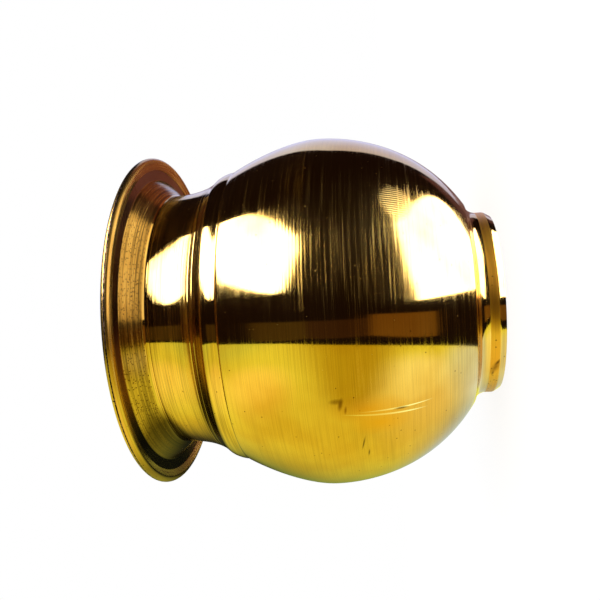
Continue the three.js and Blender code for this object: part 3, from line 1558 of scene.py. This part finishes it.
@dataclass(frozen=True)
class TableSheet:
    """The bright sheet on which the photograph shows the vessel lying, for reflections only."""

    middle: Point = (36.9, 63.1)
    reach: Point = (168.7, 156.1)
    segments: int = 128
    colour: str = "#E4E45C"
    strength: float = 1.28
    # Painted light and shade on the sheet: pools of light, a wedge of painted shadow, duller and greyer
    # patches, and the vessel's painted shadow beside and behind it.
    tones: tuple[Pool | Wedge, ...] = (
        Pool("#FFF080", (-48.0, 78.0), (34.0, 30.0), 0.2),
        Pool("#FCFCBC", (-34.0, -18.0), (48.0, 46.0), 0.3),
        Wedge("#B8A624", (-34.0, 27.0), (-68.0, -30.0), (56.0, -4.0), 16.0),
        Pool("#D0DC64", (-60.0, 165.0), (140.0, 70.0)),
        Pool("#DAECF0", (20.0, -54.0), (62.0, 66.0), 0.35),
        Pool("#B4C0B8", (34.0, 6.0), (54.0, 36.0), 0.4),
        Pool("#6E7E40", (6.0, 42.0), (33.0, 36.0), 0.25),
        Pool("#4A4426", (12.0, 84.0), (32.0, 24.0), 0.5),
        Pool("#24261A", (42.0, 56.0), (50.0, 34.0), 0.6),
    )

    def make(self) -> None:
        """Builds the sheet."""
        material, tree = blank_material("table_sheet")
        place = add_node(tree, "ShaderNodeTexCoord").outputs["Object"]
        tone = add_node(tree, "ShaderNodeRGB")
        tone.outputs[0].default_value = linear(self.colour)
        shade = tone.outputs[0]
        for patch in self.tones:
            shade = add_node(
                tree,
                "ShaderNodeMix",
                {"data_type": "RGBA", COLOUR_B: linear(patch.colour)},
                {FACTOR: patch.mask(tree, place), COLOUR_A: shade},
            ).outputs[COLOUR_MIXED]
        light = add_node(tree, "ShaderNodeEmission", {"Strength": self.strength}, {"Color": shade})
        add_node(tree, "ShaderNodeOutputMaterial", links={"Surface": light.outputs["Emission"]})
        sheet = bmesh.new()
        spot = Vector((TABLE_LEVEL, *self.middle)) * MM
        across, along = (reach * MM for reach in self.reach)
        laid_at = (
            Matrix.Translation(spot)
            @ Matrix.Rotation(math.pi / 2, 4, "Y")
            @ Matrix.Diagonal((along, across, 1, 1))
        )
        bmesh.ops.create_circle(
            sheet, cap_ends=True, segments=self.segments, radius=1.0, matrix=laid_at
        )
        stage_piece("table_sheet", sheet, material)


@dataclass(frozen=True)
class Studio:
    """Camera, pale floor, panels and lamp, in the vessel's frame.

    Lengths are in millimetres, or in metres where the name ends in m.
    """

    focal_px: float = 654.6
    frame_px: float = 600.0
    sensor_mm: float = 36.0
    clip_m: Span = (0.005, 50.0)
    foot_at: Place = (41.57, 0.33, 142.43)
    tilt_deg: float = 7.73
    roll_deg: float = 3.23
    centre: Place = (0.0, 0.0, 36.0)
    floor_reach_m: float = 3.0
    floor_glow: float = 0.87
    room_radius_m: float = 1.5
    room_segments: int = 48
    lamp_at_m: Place = (0.35, -0.6, 0.5)
    lamp_size_m: float = 0.6
    lamp_watts: float = 3.0
    cards: tuple[Card, ...] = (
        Card("cream_card", (1.0, 84.0), (38.2, 90.0), "#FFEFCC", 1.5),
        Card("dark_card", (84.0, 110.0), (38.2, 120.0), "#5A3222", 0.7),
        Card("brown_card", (110.0, 178.0), (38.2, 950.0), "#9C5C44", 0.8),
    )
    panels: tuple[Panel, ...] = (
        Panel(
            "window_left",
            (
                *((20, 38), (26, 22), (31, 14), (36, 11), (46, 12), (68, 17), (97, 31), (99, 41)),
                *((92, 46), (85, 50), (71, 52), (55, 52), (39, 49), (25, 45)),
            ),
            WINDOW_AWAY,
            WHITE,
            DAYLIGHT,
        ),
        Panel(
            "window_right",
            (
                *((-62, 3), (-59, 15), (-59, 26), (-62, 38), (-67, 45), (-73, 47)),
                *((-87, 49), (-106, 47), (-122, 42), (-131, 36), (-133, 29), (-128, 4)),
            ),
            WINDOW_AWAY,
            WHITE,
            DAYLIGHT,
        ),
        Panel(
            "backdrop",
            (
                *((150, 18), (150, 30), (158, 46), (168, 54), (180, 57)),
                *((191, 54), (203, 45), (208, 30), (209, 18)),
            ),
            WINDOW_AWAY,
            "#C8D0FF",
            1.25,
        ),
        Panel(
            "brown_wall",
            ((150, -12), (150, 18), (222, 18), (222, -12)),
            WALL_AWAY,
            "#8A6460",
            0.8,
        ),
        Panel(
            "brown_side",
            ((209, 18), (208, 30), (213, 38), (218, 30), (220, 18)),
            WALL_AWAY,
            "#60444A",
            1.0,
        ),
        Panel(
            "brown_floor",
            ((-30, -3), (-74, -3), (-76, -15), (-30, -15)),
            FLOOR_AWAY,
            "#7A5826",
            1.0,
        ),
        Panel("dim_floor", ((12, -5), (-30, -5), (-30, -15), (12, -15)), FLOOR_AWAY, "#3C281C", 1.0),
        Panel("olive_floor", ((50, -4), (12, -5), (12, -15), (50, -14)), FLOOR_AWAY, "#4A3A1C", 1.0),
    )

    def camera(self) -> None:
        """Places the camera where the photograph was taken from.

        The camera's own frame is x right, y down and z ahead. The foot's place in it, and the tilt and
        roll of the vessel's axis, give the camera's place in the vessel's frame.
        """
        tilt = math.radians(self.tilt_deg)
        roll = math.radians(self.roll_deg)
        across = math.cos(tilt)
        axis = Vector((-across * math.cos(roll), across * math.sin(roll), math.sin(tilt)))
        image_up = Vector((0, -1, 0))
        row_x = (image_up - axis * image_up.dot(axis)).normalized()
        row_y = axis.cross(row_x)
        to_row = Matrix((row_x, row_y, axis))
        lens = bpy.data.cameras.new("camera")
        lens.sensor_width = self.sensor_mm
        lens.lens = self.focal_px / self.frame_px * self.sensor_mm
        lens.clip_start, lens.clip_end = self.clip_m
        eye = bpy.data.objects.new("camera", lens)
        right = to_row @ Vector((1, 0, 0))
        up = to_row @ image_up
        back = to_row @ Vector((0, 0, -1))
        turned = Matrix((right, up, back)).transposed().to_4x4()
        spot = to_row @ (Vector(self.foot_at) * -MM)
        eye.matrix_world = Matrix.Translation(spot) @ turned
        bpy.context.scene.collection.objects.link(eye)
        bpy.context.scene.camera = eye

    def floor(self) -> None:
        """Lays the plain pale floor under the foot: white to the camera, paper to the light."""
        sheet = bmesh.new()
        bmesh.ops.create_grid(sheet, x_segments=1, y_segments=1, size=self.floor_reach_m)
        material, tree = blank_material("pale_floor")
        path = add_node(tree, "ShaderNodeLightPath")
        paper = add_node(tree, "ShaderNodeBsdfDiffuse", {"Color": linear("#F4F4F2")})
        thin = add_node(tree, "ShaderNodeBsdfDiffuse", {"Color": linear("#6A6A6A")})
        light = add_node(
            tree, "ShaderNodeEmission", {"Color": linear(WHITE), "Strength": self.floor_glow}
        )
        lit = add_node(
            tree, "ShaderNodeAddShader", links={0: thin.outputs["BSDF"], 1: light.outputs["Emission"]}
        )
        seen = add_node(
            tree,
            "ShaderNodeMixShader",
            links={
                "Fac": path.outputs["Is Camera Ray"],
                1: paper.outputs["BSDF"],
                2: lit.outputs["Shader"],
            },
        )
        add_node(tree, "ShaderNodeOutputMaterial", links={"Surface": seen.outputs["Shader"]})
        stage_piece("floor", sheet, material, Hidden.FLOOR)

    def world(self) -> None:
        """Sets a white surround."""
        world = bpy.data.worlds.new("surround")
        bpy.context.scene.world = world
        world.use_nodes = True
        world.cycles.sampling_method = "NONE"
        tree = world.node_tree
        tree.nodes.clear()
        white = add_node(tree, "ShaderNodeBackground", {"Color": linear(WHITE), "Strength": 1.0})
        add_node(tree, "ShaderNodeOutputWorld", links={"Surface": white.outputs["Background"]})

    def room(self) -> None:
        """Closes the dim room round the vessel, as the brass reflects it."""
        shell = bmesh.new()
        bmesh.ops.create_uvsphere(
            shell,
            u_segments=self.room_segments,
            v_segments=self.room_segments // 2,
            radius=self.room_radius_m,
        )
        stage_piece("dim_room", shell, glow("dim_room", "#1C1210", 1.0))

    def lamp(self) -> None:
        """Hangs one large soft lamp on the camera's side, so that the shadow falls behind."""
        light = bpy.data.lights.new("soft_lamp", "AREA")
        light.shape = "SQUARE"
        light.size = self.lamp_size_m
        light.energy = self.lamp_watts
        lamp = bpy.data.objects.new("soft_lamp", light)
        spot = Vector(self.lamp_at_m)
        lamp.location = spot
        lamp.rotation_euler = (-spot).to_track_quat("-Z", "Y").to_euler()
        lamp.visible_glossy = False
        bpy.context.scene.collection.objects.link(lamp)

    def build(self) -> None:
        """Sets the whole stage."""
        self.camera()
        self.world()
        self.floor()
        self.room()
        TableSheet().make()
        for card in self.cards:
            card.make()
        for panel in self.panels:
            panel.make(Vector(self.centre))
        self.lamp()


def main() -> None:
    """Loads the frame and builds the vessel and its studio."""
    logging.basicConfig(level=logging.INFO)
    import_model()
    bpy.context.scene.view_settings.view_transform = "Standard"
    Studio().build()
    form = Form()
    finishes = Finishes()
    foot = Foot(form)
    foot.build(finishes)
    Body(form, foot.bore, foot.braze_size).build(finishes)
    Mouth(form).build(finishes)


if __name__ == "__main__":
    main()
